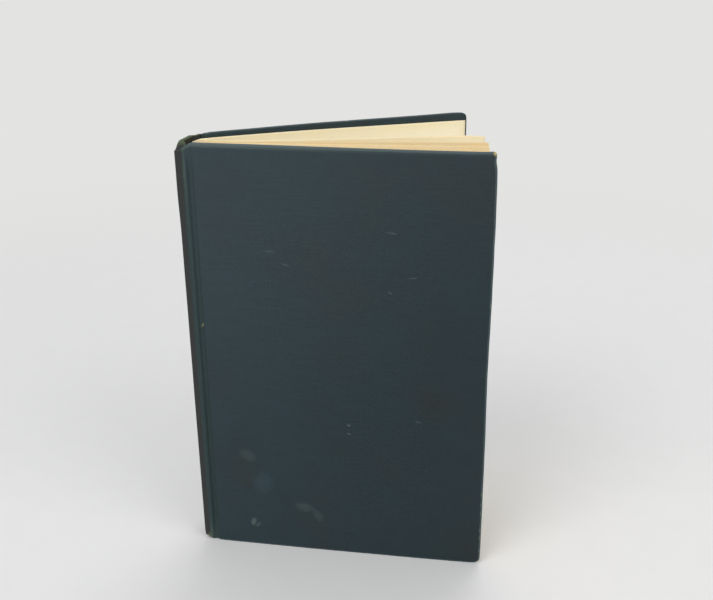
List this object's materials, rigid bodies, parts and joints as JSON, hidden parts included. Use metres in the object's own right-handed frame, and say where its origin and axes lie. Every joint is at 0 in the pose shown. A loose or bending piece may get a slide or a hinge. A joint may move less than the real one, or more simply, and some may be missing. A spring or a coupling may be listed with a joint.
{
  "type": "hardback book",
  "caption": "Cloth-bound hardback book standing on its tail edges: front cover shut, back cover ajar, fanned leaves and a bowed free endpaper between them.",
  "frame": {"origin": "middle of the foot of the whole book, on the surface that it stands on", "axes": "+Z from tail to head; the front cover faces -Y and the spine faces -X"},
  "size_m": [0.1428, 0.0924, 0.21],
  "materials": {
    "book_cloth": "starched book cloth, matt, rubbed at the edges",
    "board": "pressed grey-brown board",
    "spine_card": "plain card",
    "endpaper": "smooth cream paper, aged",
    "pages": "trimmed cream leaves, toned at the edges",
    "mull": "open starched gauze",
    "lining_paper": "brown lining paper"
  },
  "bodies": {
    "block_and_spine": {"text_block": "pages", "front_flyleaf": "endpaper", "back_flyleaf": "endpaper", "spine_mull": "mull", "spine_lining": "lining_paper", "spine_inlay": "spine_card", "spine_cloth": "book_cloth"},
    "front_cover": {"front_board": "board", "front_cover_cloth": "book_cloth", "front_mull_flange": "mull", "front_pastedown": "endpaper"},
    "back_cover": {"back_board": "board", "back_cover_cloth": "book_cloth", "back_mull_flange": "mull", "back_pastedown": "endpaper"}
  },
  "joints": [
    {"name": "front_cover_hinge", "type": "hinge", "parent": "block_and_spine", "child": "front_cover", "pos_m": [-0.06485, -0.04571, 0], "axis": [0, 0, -1], "range_deg": [0, 180]},
    {"name": "back_cover_hinge", "type": "hinge", "parent": "block_and_spine", "child": "back_cover", "pos_m": [-0.06485, -0.01991, 0], "axis": [0, 0, 1], "range_deg": [-23.5, 150.9], "deforming": ["back_flyleaf"]}
  ]
}
